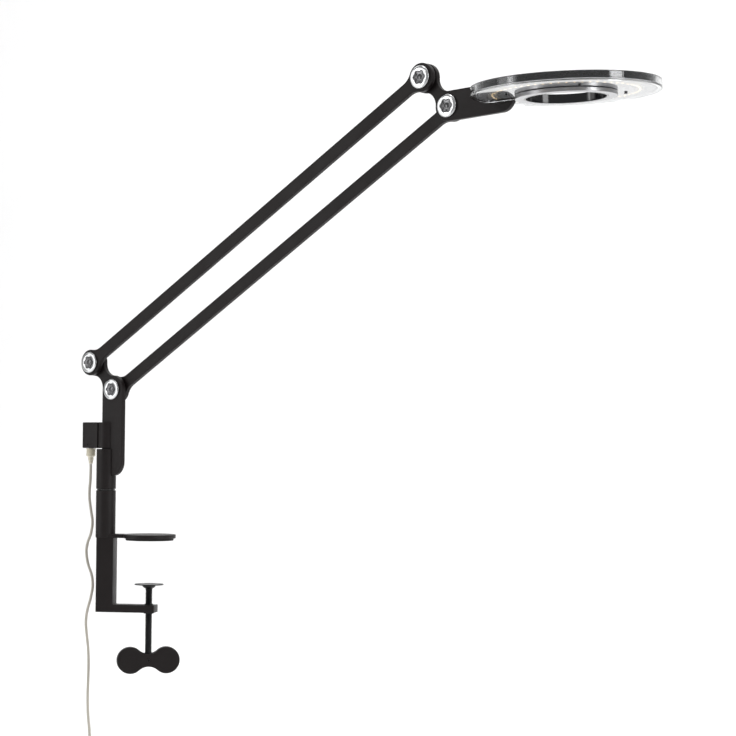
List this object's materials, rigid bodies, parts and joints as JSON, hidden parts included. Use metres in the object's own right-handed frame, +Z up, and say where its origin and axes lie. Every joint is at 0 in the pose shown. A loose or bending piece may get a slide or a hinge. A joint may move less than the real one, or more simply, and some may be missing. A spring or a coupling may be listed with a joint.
{
  "type": "architect desk lamp",
  "caption": "Ring-headed desk lamp on a two-bar levelling arm that swivels on a screw clamp, with a low-voltage lead and plug-in adapter.",
  "frame": {"origin": "centre of the upper jaw's rubber desk face", "axes": "+X from the post out along the jaws, over the desk; +Z up, along the post and the clamp screw; +Y completes the right-handed set. At rest the arm is turned 30 degrees clockwise from +X, seen from above"},
  "size_m": [0.7195, 0.4728, 0.9371],
  "materials": {
    "black_coat": "satin black powder coat",
    "bar_black": "satin black coat on aluminium flat",
    "head_black": "gloss black",
    "chrome": "mirror chrome",
    "steel": "turned",
    "black_oxide": "oiled black oxide",
    "jaw_rubber": "matt",
    "nylon": "moulded",
    "brass": "turned",
    "clear_acrylic": "polished",
    "reflector_white": "gloss white",
    "circuit_board": "solder mask with LED chips",
    "dimmer": "copper coloured circuit module",
    "satin_aluminium": "satin turned",
    "socket_plastic": "moulded black",
    "plug_ivory": "soft translucent ivory",
    "cord_grey": "light grey PVC",
    "adapter_plastic": "fine spark texture"
  },
  "bodies": {
    "clamp": {"clamp_frame": "black_coat", "upper_jaw_pad": "jaw_rubber", "thread_insert": "black_oxide", "swivel_pin": "steel", "swivel_washer": "nylon"},
    "clamp_plate": {"pressure_plate": "black_oxide"},
    "clamp_screw": {"clamp_screw": "black_oxide", "wing_knob": "bar_black", "knob_set_pin": "steel"},
    "swivel": {"swivel_barrel": "black_coat", "swivel_bush": "brass", "base_plate": "black_coat", "barrel_screw_1": "black_oxide", "barrel_screw_2": "black_oxide", "power_housing": "black_coat", "power_cover": "black_coat", "cover_screw_1": "black_oxide", "cover_screw_2": "black_oxide", "jack_socket": "socket_plastic", "dc_plug": "plug_ivory", "cord_tube": "cord_grey", "cord_coil": "cord_grey", "cord_tail": "cord_grey", "wall_adapter": "adapter_plastic", "pivot_screw_1": "chrome", "pivot_nut_1": "chrome", "pivot_washer_1": "nylon", "pivot_screw_2": "chrome", "pivot_nut_2": "chrome", "pivot_washer_2": "nylon"},
    "lower_bar": {"lower_bar": "bar_black", "pivot_sleeve_1": "nylon", "pivot_sleeve_3": "nylon", "pivot_washer_3": "nylon"},
    "upper_bar": {"upper_bar": "bar_black", "pivot_sleeve_2": "nylon", "pivot_sleeve_4": "nylon", "pivot_washer_4": "nylon"},
    "head_bracket": {"head_bracket": "bar_black", "pivot_screw_3": "chrome", "pivot_nut_3": "chrome", "pivot_screw_4": "chrome", "pivot_nut_4": "chrome"},
    "head": {"head_rim": "clear_acrylic", "head_housing": "head_black", "reflector_inner": "reflector_white", "reflector_outer": "reflector_white", "led_board": "circuit_board", "hub_ring": "satin_aluminium", "dimmer_module": "dimmer", "hub_screw_1": "black_oxide", "hub_screw_2": "black_oxide", "hub_screw_3": "black_oxide", "hub_screw_4": "black_oxide", "hinge_pin": "steel", "hinge_block_front": "satin_aluminium", "hinge_block_back": "satin_aluminium", "hinge_washer_front": "nylon", "hinge_washer_back": "nylon"}
  },
  "joints": [
    {"name": "swivel", "type": "hinge", "parent": "clamp", "child": "swivel", "pos_m": [-0.0552, 0, 0.0608], "axis": [0, 0, 1], "range_deg": [-90, 150]},
    {"name": "arm_lift", "type": "hinge", "parent": "swivel", "child": "lower_bar", "pos_m": [-0.04515, -0.0058, 0.18293], "axis": [-0.5, -0.866, 0], "range_deg": [-48, 50]},
    {"name": "upper_bar_follow", "type": "hinge", "parent": "swivel", "child": "upper_bar", "pos_m": [-0.0717, 0.00953, 0.21585], "axis": [-0.5, -0.866, 0], "range_deg": [-48, 50]},
    {"name": "bracket_level", "type": "hinge", "parent": "lower_bar", "child": "head_bracket", "pos_m": [0.389, -0.25646, 0.48249], "axis": [-0.5, -0.866, 0], "range_deg": [-50, 48]},
    {"name": "head_tilt", "type": "hinge", "parent": "head_bracket", "child": "head", "pos_m": [0.44876, -0.29096, 0.48562], "axis": [-0.4988, -0.8653, -0.0501], "range_deg": [-80, 80]},
    {"name": "clamp_travel", "type": "slide", "parent": "clamp", "child": "clamp_plate", "axis": [0, 0, 1], "range_m": [-0.018, 0.039]},
    {"name": "screw_turn", "type": "hinge", "parent": "clamp_plate", "child": "clamp_screw", "pos_m": [0, 0, -0.1], "axis": [0, 0, 1], "range_deg": [-4080, 9240]}
  ],
  "couplings": [
    {"joint": "upper_bar_follow", "follows": "arm_lift", "ratio": 1},
    {"joint": "bracket_level", "follows": "arm_lift", "ratio": -1},
    {"joint": "clamp_travel", "follows": "screw_turn", "m_per_rad": 0.00023873}
  ]
}
